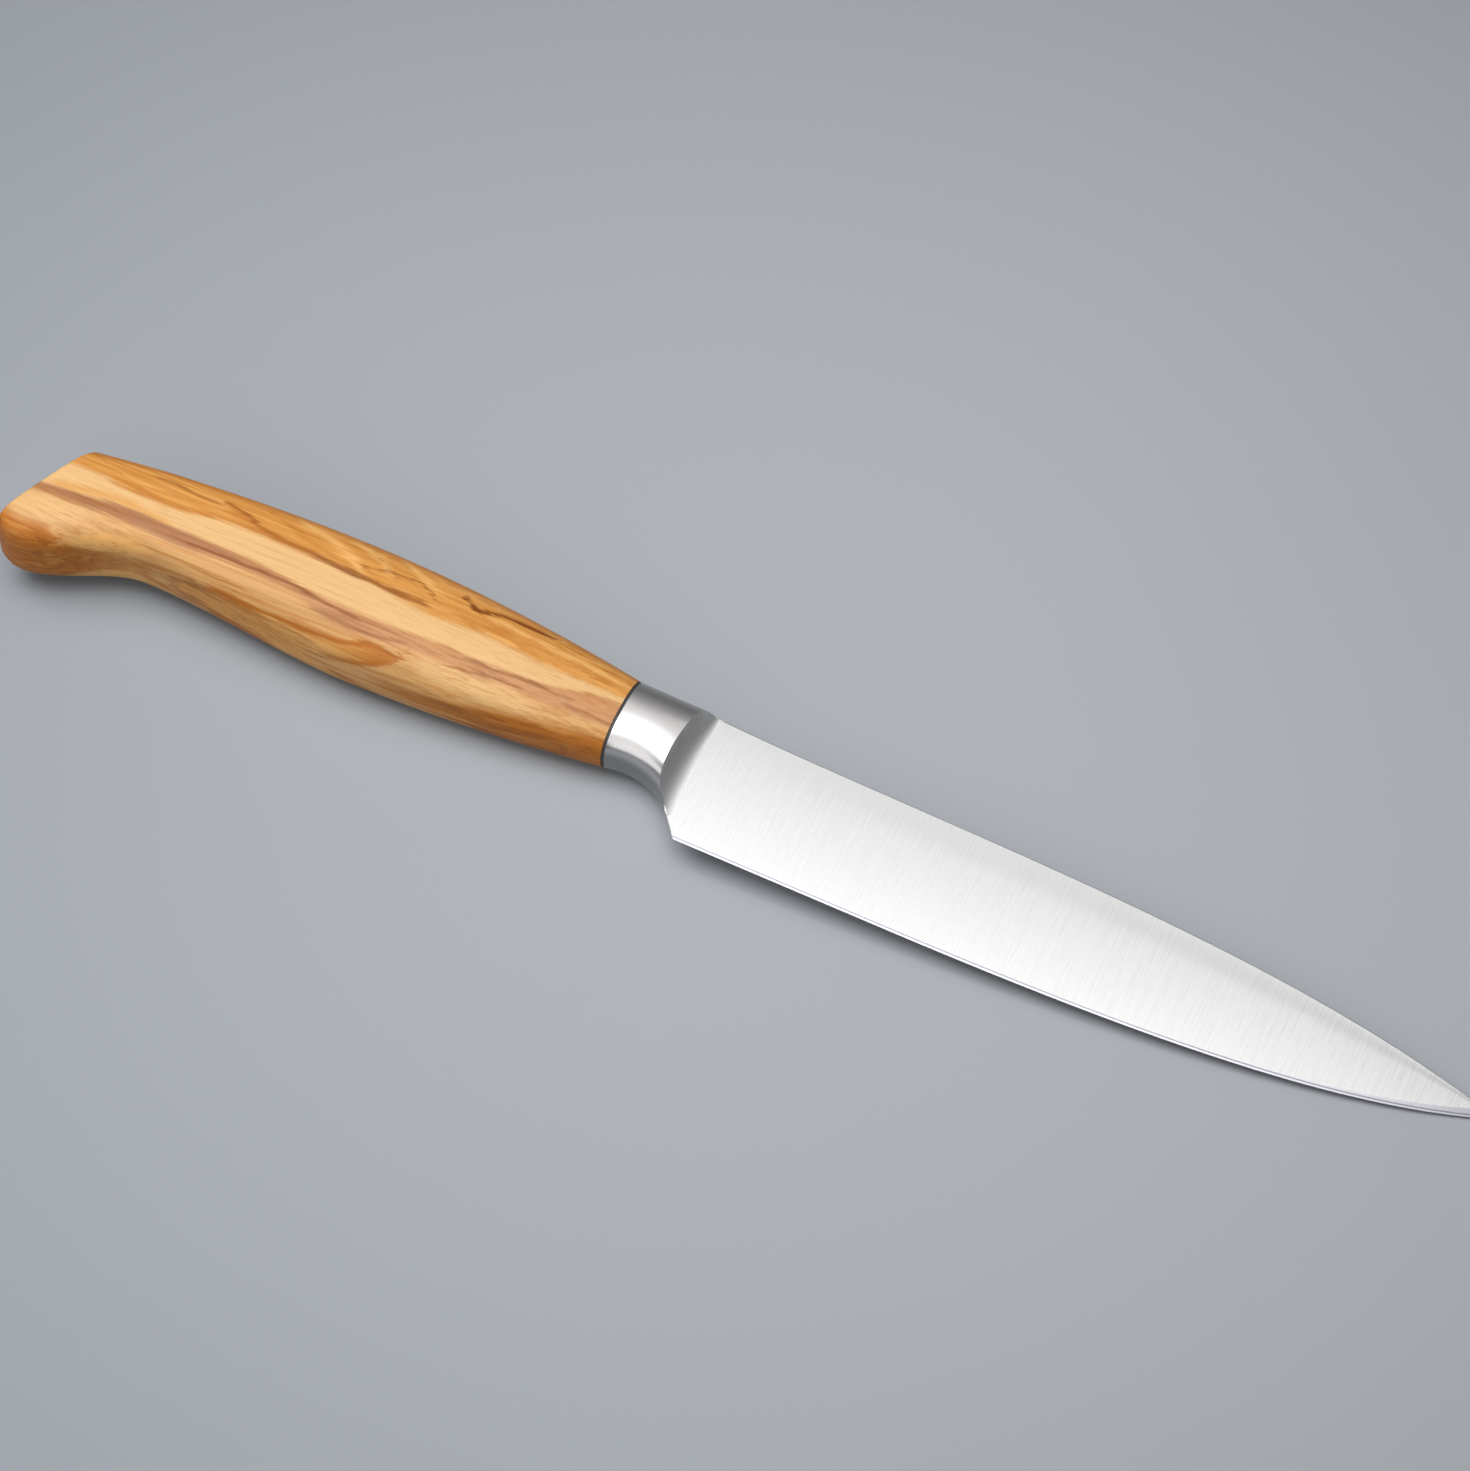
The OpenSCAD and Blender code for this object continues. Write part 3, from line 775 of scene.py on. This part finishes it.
def olive_wood(finish):
    """Olive wood: a golden figured back, a cream band, a mauve heart stripe, a flame and a browner belly.
    The belly's underside and the band along the back also carry painted shade.
    """
    shader = Shader("olive_wood", Roughness=finish.roughness, IOR=1.45, Specular_IOR_Level=0.2)
    grain = Grain(shader)
    streak = shader.noise(45 * MM, 1.6 * MM, 4, 0.6)
    brown = shader.noise(60 * MM, 0.7 * MM, 3, 0.55, 53.0)
    back_line = grain.path(BACK_LINE)
    below_heart_top = grain.below(grain.path(HEART_TOP), 3.0)
    ground = golden_ground(grain, finish, streak, brown)
    wood = shader.mix(grain.below(back_line, 3.0), figured_back(grain, finish, brown), ground)
    band = grain.below(back_line, 4.0) * (1 - below_heart_top)
    wood = shader.mix(band * 0.9, wood, finish.cream)
    wood = shader.mix(grain.vein(BUTT_TONGUE, 8.0) * 0.7, wood, finish.orange)
    inside = below_heart_top * (1 - grain.below(grain.path(HEART_BOTTOM), 5.0))
    wood = shader.mix(inside * shader.step(streak, 0.2, 0.4), wood, heart_wood(grain, finish, brown))
    in_flame = grain.below(grain.path(FLAME_TOP), 3.0) * (1 - grain.below(grain.path(FLAME_BACK), 3.0))
    in_flame = in_flame * grain.stretch(41, 84, 3)
    wood = shader.mix(in_flame * 0.85, wood, flame_wood(grain, finish, brown))
    # Belly and beak: browner wood, partly real and partly painted shade of the underside
    in_belly = grain.below(grain.path(BELLY_LINE), 9.0)
    wood = shader.mix(in_belly * 0.95, wood, belly_wood_and_shade(grain, finish, streak, brown))

    broken = shader.step(shader.noise(9 * MM, 1.0 * MM, 2, 0.5, 21.0), 0.1, 0.4)
    for points, width, share in DARK_VEINS:
        wood = shader.mix(grain.vein(points, width) * broken * share, wood, finish.vein)
    for points, width, share in BROWN_VEINS:
        wood = shader.mix(grain.vein(points, width) * share, wood, finish.flame)
    wood = shader.mix(grain.spot(74, 165, 8, 8) * 0.8, wood, finish.flame)
    # Painted shade: the band along the back, out to the silhouette, is darkened towards the flame colour
    wood = shader.mix(shader.step(grain.around, 46.0, 34.0) * 0.5, wood, finish.flame)

    pores = 0.3 - grain.spot(101, 158, 15, 45) * 0.25
    lines = shader.step(shader.noise(60 * MM, 0.5 * MM, 3, 0.6, 91.0), 0.52, 0.66)
    wood = shader.mix(lines * (pores + 0.1 - band * 0.25), wood, finish.flame)
    wood = shader.mix(lines * grain.spot(76, 170, 34, 34) * 0.4, wood, finish.vein)
    fibre = shader.noise(14 * MM, 0.3 * MM, 3, 0.65, 41.0)
    wood = shader.mix(shader.step(fibre, 0.5, 0.8) * pores, wood, finish.vein)
    wood = shader.mix(shader.step(fibre, 0.42, 0.2) * 0.15, wood, finish.cream)
    shader.feed("Base Color", wood)
    shader.feed("Roughness", finish.roughness + (fibre - 0.5) * 0.16)
    shader.bump(fibre, 0.12, 0.05 * MM)
    return shader.material


# Where the notch's painted shade fades out and where its finer polish does, in millimetres from its skin,
# and where the line that ends the honing fades in and out, in millimetres from the edge. The painted shade
# darkens the notch's steel to stand in for its dim reflection of the shaded floor.
NOTCH_SHADE = (0.0, 0.5)
NOTCH_POLISH = (1.0, 6.0)
HONE_IN = (0.28, 0.38)
HONE_OUT = (0.62, 0.46)


def steel(name, tint, roughness, along, across, streaks, notch=None, hone=None):
    """Ground steel with fine lines: their length along and across the knife, and how strongly they show. The
    skin of the finger notch may carry painted shade: darker steel that stands in for its dim reflection of
    the shaded floor. The line at which the honing ends may have a colour of its own."""
    shader = Shader(name, Metallic=1.0)
    skin = tint
    if notch is not None:
        # Painted shade: the notch's skin is darkened to stand in for its dim reflection of the shaded floor
        above = shader.attribute("notch")
        skin = shader.mix(shader.step(above, *NOTCH_SHADE), notch, tint)
        roughness = roughness * (0.5 + shader.step(above, *NOTCH_POLISH) * 0.5)
    if hone is not None:
        up = shader.attribute("from_edge")
        skin = shader.mix(shader.step(up, *HONE_IN) * shader.step(up, *HONE_OUT), tint, hone)
    lines = shader.noise(along, across, 3, 0.6)
    cut = shader.mix(shader.step(lines, 0.4, 0.7) * streaks, skin, shade(tint, 0.4))
    shader.feed("Base Color", cut)
    shader.feed("Roughness", roughness + (lines - 0.5) * streaks)
    shader.bump(lines, streaks * 0.5, 0.01 * MM)
    return shader.material


def spacer_fibre(tint):
    """Matt black fibre with a faint fleck."""
    shader = Shader("black_fibre", Roughness=0.55, IOR=1.45)
    fleck = shader.noise(0.4 * MM, 0.3 * MM, 2)
    shader.feed("Base Color", shader.mix(fleck, tint, shade(tint, 4)))
    shader.feed("Roughness", 0.5 + fleck * 0.15)
    return shader.material


def cured_resin(tint):
    """Clouded amber resin."""
    shader = Shader("cured_resin", Roughness=0.3, IOR=1.5)
    cloud = shader.noise(3 * MM, 2 * MM, 3)
    shader.feed("Base Color", shader.mix(cloud, tint, shade(tint, 0.6)))
    return shader.material


def floor_with_painted_falloff(tint):
    """Plain pale floor with a barely uneven coat, and painted light falloff: darker away from the middle, as
    the pool of light and the lens's vignetting leave it.
    """
    shader = Shader("floor", Roughness=0.75, IOR=1.4)
    middle = (0.092, 0.102, 0.0)
    near, far = 0.04, 0.5
    far_shade = (0.49, 0.516, 0.528)
    uneven = shader.noise(0.2, 0.2, 3)
    coat = shader.mix(uneven, shade(tint, 0.985), shade(tint, 1.015))
    inputs = {0: shader.place, 1: middle}
    away = shader.node("ShaderNodeVectorMath", {"operation": "DISTANCE"}, inputs, "Value")
    # Painted light falloff: the floor darkens away from the middle, standing in for the pool of light and
    # vignetting
    painted_falloff = shader.mix(1.0, coat, far_shade, "MULTIPLY")
    shader.feed("Base Color", shader.mix(shader.step(away, near, far), coat, painted_falloff))
    return shader.material


def bolster_bar(plan, polish):
    """Oval bar from the joint on: its upper half runs straight to the spine and its lower half turns about
    the notch's axis."""
    bolster = plan.bolster
    y, z = plan.joint_oval()
    overrun = math.radians(2)
    past_spine = 0.1 * MM
    blend_from, blend_over = 80, 20
    turn_end = bolster.heel_angle + overrun
    fall = (plan.joint.top - bolster.spine_height) / plan.spine_start[0]
    radius = np.hypot(plan.notch_x, y - plan.notch_y)
    turn_start = -np.arcsin(plan.notch_x / radius)
    away = np.degrees(np.arccos(np.cos(plan.round)))
    lower = ease((away - blend_from) / blend_over)
    rings = []
    for share in np.linspace(0, 1, plan.detail.bar_rings):
        straight = share * (plan.spine_start[0] + past_spine)
        turn = turn_start + share * (turn_end - turn_start)
        x = (1 - lower) * straight + lower * (plan.notch_x + radius * np.sin(turn))
        height = (1 - lower) * (y - fall * straight) + lower * (plan.notch_y + radius * np.cos(turn))
        rings.append(stack(x, height, z))
    return loft("forged_blade_piece", rings, [polish])


def plunge_wheel(plan, grind, side):
    """Sweep of the grinding wheel that leaves the concave plunge on one side."""
    bolster, blade = plan.bolster, plan.blade
    r = bolster.plunge_r
    reach = blade.height
    least_share = 0.3
    turn = np.linspace(math.pi, 1.5 * math.pi, plan.detail.arc_steps)
    arc = np.column_stack((r * np.cos(turn), r + r * np.sin(turn)))
    block = np.array(((reach, 0), (reach, reach), (-r, reach)))
    outline = np.vstack((arc, block))
    rings = []
    for height in np.linspace(2 * reach, -2 * reach, plan.detail.wheel_rings):
        bite = bolster.plunge_bite - bolster.plunge_arch * (height - bolster.plunge_low) ** 2
        grown = np.where(outline[:, 0] < 0, outline[:, 0] * max(least_share, 1 + bite / r), outline[:, 0])
        rings.append(stack(grown, outline[:, 1], -height))
    wheel = loft("plunge_wheel", rings, [grind])
    on_flank = (
        Matrix.Translation((*plan.heel, blade.edge_thick / 2))
        @ Matrix.Rotation(blade.distal_taper, 4, "Y")
        @ Matrix.Rotation(plan.flank_angle, 4, "X"))
    at_plunge = (
        Matrix.Translation((bolster.plunge_at - plan.heel[0], -plan.heel[1], -bolster.plunge_sink))
        @ Matrix.Rotation(bolster.plunge_lean, 4, "Z")
        @ Matrix.Rotation(math.pi / 2, 4, "X"))
    wheel.data.transform(Matrix.Scale(side, 4, (0, 0, 1)) @ on_flank @ at_plunge)
    if side < 0:
        wheel.data.flip_normals()
    return wheel


def blade_plate(plan, satin, honed):
    """Wedge-ground blade with its cutting bevel, run back into the bolster."""
    blade, detail = plan.blade, plan.detail
    last_share, crowding = 0.999, 1.25
    most_bevel, most_ease = 0.96, 0.02
    roll_from, roll_over = 0.74, 0.22
    share = 1 - (1 - np.linspace(0, last_share, detail.blade_rings)) ** crowding
    spine_x = plan.spine_start[0] + share * (plan.tip[0] - plan.spine_start[0])
    edge_x = plan.heel[0] + share * (plan.tip[0] - plan.heel[0])
    spine = np.column_stack((spine_x, np.interp(spine_x, *plan.spine.T)))
    edge = np.column_stack((edge_x, np.interp(edge_x, *plan.edge.T)))
    slope = np.gradient(edge[:, 1], edge[:, 0])
    inward = np.column_stack((-slope, np.ones_like(slope))) / np.hypot(slope, 1)[:, None]
    room = np.linalg.norm(spine - edge, axis=1)
    bevel_rise = math.tan(blade.bevel_angle)
    grown = plan.flank_half(*edge.T) - blade.apex_width / 2
    bevel = np.minimum(grown / (bevel_rise - math.tan(plan.flank_angle)), most_bevel * room)
    shoulder = edge + inward * bevel[:, None]
    shoulder_half = blade.apex_width / 2 + bevel * bevel_rise
    eased = np.minimum(blade.spine_ease, most_ease * room)
    down = (shoulder - spine) / np.maximum(TINY, np.linalg.norm(shoulder - spine, axis=1))[:, None]
    corner = spine + down * eased[:, None]
    rows = [(edge, np.full_like(room, blade.apex_width / 2)), (shoulder, shoulder_half)]
    for t in np.linspace(0, 1, detail.flank_rows + 1)[1:]:
        at = shoulder + t * (corner - shoulder)
        half = np.minimum(plan.flank_half(*at.T), shoulder_half + t * bevel_rise * room)
        rolled = t - ease((t - roll_from) / roll_over)
        relief = blade.crown * t * (1 - t) + blade.roll * share * rolled
        rows.append((at, half + relief * room))
    top_half = rows[-1][1]
    for turn in (math.radians(45), math.radians(90)):
        up = (eased * math.sin(turn))[:, None]
        rows.append((corner - down * up, top_half - eased * (1 - math.cos(turn))))
    side = np.stack([np.column_stack((at, half)) for at, half in rows], axis=1)
    tail = heel_stations(plan, side[0])
    side = np.concatenate((tail, side))
    rings = [np.concatenate((half, half[::-1] * (1, 1, -1))) for half in side]
    around = len(rings[0])
    faces = ring_faces(len(rings), around)
    bevel_rows = (0, around - 2)
    zones = [1 if i % around in bevel_rows else 0 for i in range(len(faces) - 2)] + [0, 0]
    return new_object("blade_plate", np.concatenate(rings), faces, [satin, honed], zones)


def heel_stations(plan, first):
    """Stations behind the blade's first one, back to the heel's slanted edge and into the bolster."""
    bolster = plan.bolster
    under_spine = 0.2 * MM
    height = np.minimum(first[:, 1], bolster.spine_height - under_spine)
    heel_line = plan.heel[0] - (height - plan.heel[1]) / math.tan(bolster.heel_angle)
    root = np.maximum(heel_line, bolster.plunge_at - bolster.plunge_r)
    stations = []
    for share in np.linspace(0, 1, plan.detail.heel_rings, endpoint=False):
        x = root + share * (first[:, 0] - root)
        y = height + share * (first[:, 1] - height)
        half = first[:, 2] + plan.flank_half(x, y) - plan.flank_half(first[:, 0], first[:, 1])
        stations.append(stack(x, y, half))
    return np.array(stations)


def tang_bar(plan, grind):
    """Flat stick tang with pairs of half-round keys, run into the bolster."""
    joint, bolster = plan.joint, plan.bolster
    half, end_half, thick = joint.tang_width / 2, joint.tang_end_width / 2, joint.tang_thick
    root = (bolster.plunge_at - bolster.plunge_r) / 2
    start = -joint.spacer_thick
    end = start - joint.tang_length
    turn = np.linspace(0, math.pi, plan.detail.key_steps)
    upper = [(root, half), (start, half)]
    for i in range(joint.key_pairs):
        back = joint.tang_length * (i + 1) / (joint.key_pairs + 1)
        key_x = start - back
        key_y = half - (half - end_half) * back / joint.tang_length
        upper += [(key_x + joint.key_r * math.cos(t), key_y - joint.key_r * math.sin(t)) for t in turn]
    upper += [(end + thick, end_half), (end, end_half - thick / 2)]
    outline = np.array(upper + [(x, -y) for x, y in reversed(upper)])
    return prism("tang", outline, -thick / 2, thick / 2, [grind])


def forging(plan, finish):
    """Blade, half bolster and tang as one steel forging."""
    tint = finish.steel
    polish = steel(
        "polished_steel", finish.bolster, finish.polish, along=6 * MM, across=0.12 * MM, streaks=0.05,
        notch=finish.notch)
    grind = steel("plunge_steel", tint, finish.grind, along=0.15 * MM, across=5 * MM, streaks=0.25)
    satin = steel("satin_steel", tint, finish.satin, along=0.25 * MM, across=8 * MM, streaks=0.1)
    honed = steel(
        "honed_steel", finish.bevel, finish.honed, along=0.2 * MM, across=2 * MM, streaks=0.1,
        hone=finish.hone_line)
    piece = bolster_bar(plan, polish)
    for side in (1, -1):
        combine(piece, plunge_wheel(plan, grind, side), "DIFFERENCE")
    combine(piece, blade_plate(plan, satin, honed), "UNION")
    combine(piece, tang_bar(plan, grind), "UNION")
    smooth(piece, plan.detail.smooth_angle)
    points = mesh_points(piece)
    from_axis = np.hypot(points[:, 0] - plan.notch_x, points[:, 1] - plan.notch_y)
    # Distance from the notch's skin: it places the notch's painted shade and its finer polish
    mark(piece, "notch", (from_axis - plan.bolster.notch_r) / MM)
    mark(piece, "from_edge", (points[:, 1] - np.interp(points[:, 0], *plan.edge.T)) / MM)
    hand_over(piece, plan, "forged_blade")


def slot_ring(plan, x):
    """Round-ended section of the slot for the tang, with points in step with the oval's."""
    joint = plan.joint
    half_thick = joint.tang_thick / 2 + joint.resin_gap
    straight = joint.tang_width / 2 + joint.resin_gap - half_thick
    c, s = np.cos(plan.round), np.sin(plan.round)
    return stack(x, half_thick * c + straight * np.sign(c), half_thick * s)


def wooden_handle(plan, finish):
    """Grip with a beaked butt, an eased rim round its slanted end and a blind slot for the tang."""
    joint, handle, detail = plan.joint, plan.handle, plan.detail
    last_ring = 0.02
    front = -joint.spacer_thick
    bottom = front - joint.tang_length - joint.resin_end
    rings = [slot_ring(plan, bottom), slot_ring(plan, front)]
    end = plan.end_distance(handle.butt_at - handle.rim_r)
    for share in np.linspace(0, 1, detail.grip_rings):
        rings.append(plan.skin(joint.spacer_thick + share * (end - joint.spacer_thick), plan.round))
    slant = math.tan(handle.butt_slant)
    for turn in np.linspace(0, math.pi / 2, detail.rim_rings + 1)[1:]:
        plane_at = handle.butt_at - handle.rim_r * (1 - math.sin(turn))
        d = plan.end_distance(plane_at)
        skin = plan.skin(d, plan.round)
        inset = handle.rim_r * (1 - math.cos(turn))
        middle = (plan.back_height(d) + plan.belly_height(d)) / 2
        y = middle + (skin[:, 1] - middle) * (1 - inset / (plan.back_height(d) - middle))
        rings.append(stack(slant * y - plane_at, y, skin[:, 2] * (1 - inset / plan.half_thick(d))))
    rim = rings[-1]
    for share in np.linspace(1, last_ring, detail.face_rings + 1)[1:]:
        rings.append(rim.mean(0) + (rim - rim.mean(0)) * share)
    piece = loft("handle_piece", rings, [olive_wood(finish)])
    smooth(piece, detail.smooth_angle)
    points = mesh_points(piece)
    mark(piece, "along", -points[:, 0] / MM)
    mark(piece, "around", plan.around(points))
    mark(piece, "far_side", ease(-points[:, 2] / joint.thick))
    hand_over(piece, plan, "handle")


def spacer_plate(plan, finish):
    """Thin black plate with a slot for the tang, its rim a little below steel and wood."""
    joint = plan.joint
    half_height = joint.tang_width / 2 + joint.spacer_clear
    half_width = joint.tang_thick / 2 + joint.spacer_clear
    c, s = np.cos(plan.round), np.sin(plan.round)
    reach = 1 / np.maximum(np.abs(c) / half_height, np.abs(s) / half_width)
    rings = []
    rim = ((0, 0), (0.2, 1), (0.8, 1), (1, 0))
    for share, sunk in rim:
        y, z = plan.joint_oval(sunk * joint.spacer_recess)
        rings.append(stack(-share * joint.spacer_thick, y, z))
    for x in (-joint.spacer_thick, 0):
        rings.append(stack(x, reach * c, reach * s))
    piece = loft("spacer_piece", rings, [spacer_fibre(finish.fibre)], wrap=True)
    smooth(piece, plan.detail.smooth_angle)
    hand_over(piece, plan, "spacer")


def lay_floor(stage):
    """Square floor under the knife."""
    half = stage.floor_size / 2
    corners = [(-half, -half, 0), (half, -half, 0), (half, half, 0), (-half, half, 0)]
    floor = new_object("floor", corners, [(0, 1, 2, 3)], [floor_with_painted_falloff(stage.floor)])


def soft_light(name, reach, height, radiance):
    """A soft light that hangs level over the floor and faces it."""
    left, right, front, back = reach
    light = bpy.data.lights.new(name, "AREA")
    light.shape = "RECTANGLE"
    light.size = left + right
    light.size_y = front + back
    light.energy = radiance * math.pi * light.size * light.size_y
    lamp = bpy.data.objects.new(name, light)
    lamp.location = ((right - left) / 2, (back - front) / 2, height)
    lamp.visible_camera = False
    bpy.context.scene.collection.objects.link(lamp)


def hang_lights(stage):
    """A broad soft light overhead that widens in front, a smaller key light just below it and the dim light
    of the room."""
    key_height = stage.light_height - 1 * MM
    soft_light("broad", stage.broad_reach, stage.light_height, stage.broad_radiance)
    soft_light("front", stage.front_reach, stage.light_height, stage.front_radiance)
    soft_light("key", stage.key_reach, key_height, stage.key_radiance)
    world = bpy.data.worlds.new("room")
    world.use_nodes = True
    world.node_tree.nodes["Background"].inputs["Color"].default_value = (*stage.room, 1.0)
    bpy.context.scene.world = world
    bpy.context.scene.view_settings.view_transform = "Standard"


def set_camera(stage):
    """Camera at the photograph's viewing angle."""
    data = bpy.data.cameras.new("camera")
    data.sensor_fit = "HORIZONTAL"
    data.sensor_width = stage.sensor
    data.lens = stage.lens_pixels * stage.sensor / IMAGE_WIDTH
    data.clip_start = 0.01
    data.clip_end = 100
    camera = bpy.data.objects.new("camera", data)
    turn = Matrix.Rotation(stage.view_azimuth, 4, "Z")
    tilt = Matrix.Rotation(math.pi / 2 - stage.view_elevation, 4, "X")
    back = Matrix.Translation((0, 0, stage.view_distance))
    camera.matrix_world = Matrix.Translation(stage.view_aim) @ turn @ tilt @ back
    bpy.context.scene.collection.objects.link(camera)
    bpy.context.scene.camera = camera


class KNIFE_OT_forging(bpy.types.Operator):
    """Forge and grind the blade, the bolster and the tang"""
    bl_idname = "knife.forging"
    bl_label = "Forged blade"

    def execute(self, context):
        forging(Plan(context.scene.knife), context.scene.knife.steel)
        return {"FINISHED"}


class KNIFE_OT_spacer(bpy.types.Operator):
    """Cut the black spacer"""
    bl_idname = "knife.spacer"
    bl_label = "Spacer"

    def execute(self, context):
        spacer_plate(Plan(context.scene.knife), context.scene.knife.steel)
        return {"FINISHED"}


class KNIFE_OT_handle(bpy.types.Operator):
    """Shape the wooden handle"""
    bl_idname = "knife.handle"
    bl_label = "Handle"

    def execute(self, context):
        wooden_handle(Plan(context.scene.knife), context.scene.knife.wood)
        return {"FINISHED"}


class KNIFE_OT_resin(bpy.types.Operator):
    """Give the hidden resin bed its finish"""
    bl_idname = "knife.resin"
    bl_label = "Resin bed"

    def execute(self, context):
        bed = frame["nodes"]["adhesive_bed"]
        bed.data.materials.clear()
        bed.data.materials.append(cured_resin(context.scene.knife.steel.resin))
        return {"FINISHED"}


class KNIFE_OT_stage(bpy.types.Operator):
    """Lay the floor, hang the light and set the camera"""
    bl_idname = "knife.stage"
    bl_label = "Stage"

    def execute(self, context):
        stage = context.scene.knife.stage
        lay_floor(stage)
        hang_lights(stage)
        set_camera(stage)
        return {"FINISHED"}


class KNIFE_PT_panel(bpy.types.Panel):
    """Lists the knife's pieces and settings"""
    bl_idname = "KNIFE_PT_panel"
    bl_label = "Vegetable knife"
    bl_space_type = "VIEW_3D"
    bl_region_type = "UI"
    bl_category = "Knife"

    def draw(self, context):
        for operator in OPERATORS:
            self.layout.operator(operator.bl_idname)
        settings = context.scene.knife
        for group in settings.bl_rna.properties:
            if group.type == "POINTER" and group.identifier != "rna_type":
                self.layout.label(text=group.name)
                values = getattr(settings, group.identifier)
                for name in values.__annotations__:
                    self.layout.prop(values, name)


GROUPS = (
    BladeSizes, BolsterSizes, JointSizes, HandleSizes, MeshDetail, WoodFinish, SteelFinish, StageSettings)
OPERATORS = (KNIFE_OT_stage, KNIFE_OT_forging, KNIFE_OT_spacer, KNIFE_OT_handle, KNIFE_OT_resin)
CLASSES = (*GROUPS, KnifeSettings, *OPERATORS, KNIFE_PT_panel)


def register():
    for each in CLASSES:
        bpy.utils.register_class(each)
    bpy.types.Scene.knife = PointerProperty(type=KnifeSettings)


def unregister():
    del bpy.types.Scene.knife
    for each in reversed(CLASSES):
        bpy.utils.unregister_class(each)


def main():
    register()
    bpy.ops.knife.stage()
    bpy.ops.knife.forging()
    bpy.ops.knife.spacer()
    bpy.ops.knife.handle()
    bpy.ops.knife.resin()


if __name__ == "__main__":
    main()
